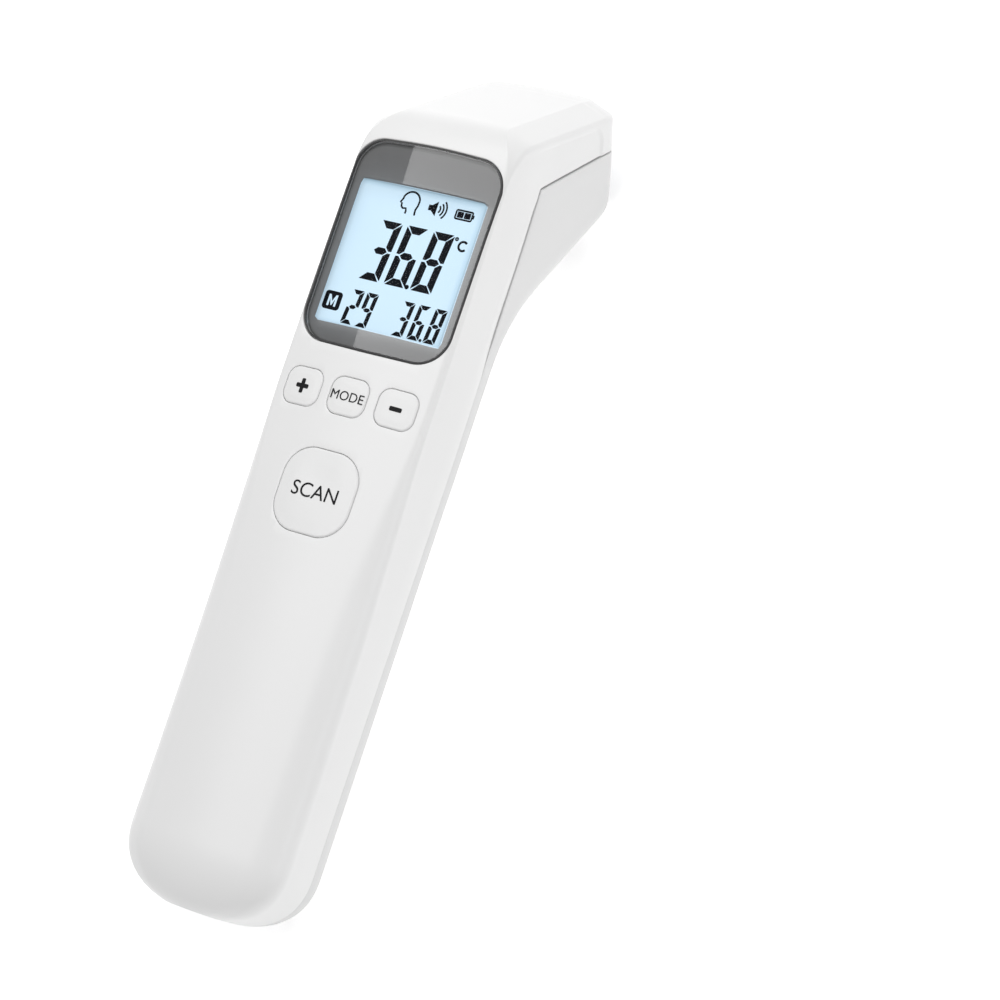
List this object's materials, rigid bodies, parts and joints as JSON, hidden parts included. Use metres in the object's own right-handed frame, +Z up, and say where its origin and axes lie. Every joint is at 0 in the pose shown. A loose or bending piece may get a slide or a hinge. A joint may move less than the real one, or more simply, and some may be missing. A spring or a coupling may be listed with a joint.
{
  "type": "digital thermometer",
  "caption": "Handheld infrared forehead thermometer with a slim curved handle, large tinted display, rounded push buttons and an angled sensing head.",
  "frame": {"origin": "on the floor, under the middle of the thermometer as it lies on its back", "axes": "+X to the user's right, +Y along the handle towards the head, +Z up, out of the display side"},
  "size_m": [0.0394, 0.1932, 0.0466],
  "materials": {
    "white_shell": "satin white injection moulding",
    "white_inner": "matt white",
    "button": "satin white keys with dark printed legends",
    "lens": "polished, black printed border round a clear window",
    "display": "pale blue backlit liquid crystal",
    "light_guide": "frosted",
    "led": "translucent",
    "rubber": "striped conductive rubber",
    "board": "green solder mask",
    "black_part": "matt black",
    "switch_stem": "matt black",
    "capacitor": "dark sleeve",
    "battery": "plain dark sleeve with a bright end",
    "nickel": "nickel plated",
    "steel": "zinc plated",
    "chrome": "polished reflector",
    "filter": "dark infrared filter",
    "grey_part": "matt grey",
    "ribbon": "flat cable",
    "foam": "soft foam",
    "red_wire": "red insulation",
    "black_wire": "black insulation"
  },
  "bodies": {
    "body": {"backlight_led": "led", "battery_left": "battery", "battery_right": "battery", "battery_tray": "white_inner", "board_screw_1": "steel", "board_screw_2": "steel", "board_screw_3": "steel", "board_screw_4": "steel", "bridge_plate": "nickel", "bridge_spring": "nickel", "buzzer": "black_part", "capacitor": "capacitor", "case_screw_low_left": "steel", "case_screw_low_right": "steel", "case_screw_top_left": "steel", "case_screw_top_right": "steel", "controller_chip": "black_part", "crystal": "steel", "display_lens": "lens", "front_cover": "white_shell", "lcd_backlight": "light_guide", "lcd_frame": "white_inner", "lcd_glass": "display", "main_board": "board", "memory_chip": "black_part", "minus_switch": "black_part", "mode_switch": "black_part", "negative_contact": "nickel", "negative_lead": "black_wire", "negative_spring": "nickel", "plus_switch": "black_part", "positive_contact": "nickel", "positive_lead": "red_wire", "rear_cover": "white_shell", "scan_switch": "black_part", "sensor_bezel": "grey_part", "sensor_board": "board", "sensor_cone": "chrome", "sensor_holder": "white_inner", "sensor_ribbon": "ribbon", "thermopile_can": "steel", "thermopile_window": "filter", "zebra_strip": "rubber"},
    "battery_door": {"battery_door": "white_shell", "door_foam": "foam"},
    "scan_button": {"scan_button": "button", "scan_plunger": "switch_stem"},
    "plus_button": {"plus_button": "button", "plus_plunger": "switch_stem"},
    "mode_button": {"mode_button": "button", "mode_plunger": "switch_stem"},
    "minus_button": {"minus_button": "button", "minus_plunger": "switch_stem"}
  },
  "joints": [
    {"name": "scan_press", "type": "slide", "parent": "body", "child": "scan_button", "axis": [0, 0.1626, -0.9867], "range_m": [0, 0.0006], "stiffness_N_per_m": 3200, "springref_m": -0.0001},
    {"name": "plus_press", "type": "slide", "parent": "body", "child": "plus_button", "axis": [0, 0.1626, -0.9867], "range_m": [0, 0.0005], "stiffness_N_per_m": 3200, "springref_m": -0.0001},
    {"name": "mode_press", "type": "slide", "parent": "body", "child": "mode_button", "axis": [0, 0.1626, -0.9867], "range_m": [0, 0.0005], "stiffness_N_per_m": 3200, "springref_m": -0.0001},
    {"name": "minus_press", "type": "slide", "parent": "body", "child": "minus_button", "axis": [0, 0.1626, -0.9867], "range_m": [0, 0.0005], "stiffness_N_per_m": 3200, "springref_m": -0.0001},
    {"name": "battery_door_slide", "type": "slide", "parent": "body", "child": "battery_door", "axis": [0, -0.9867, -0.1626], "range_m": [0, 0.012]}
  ]
}
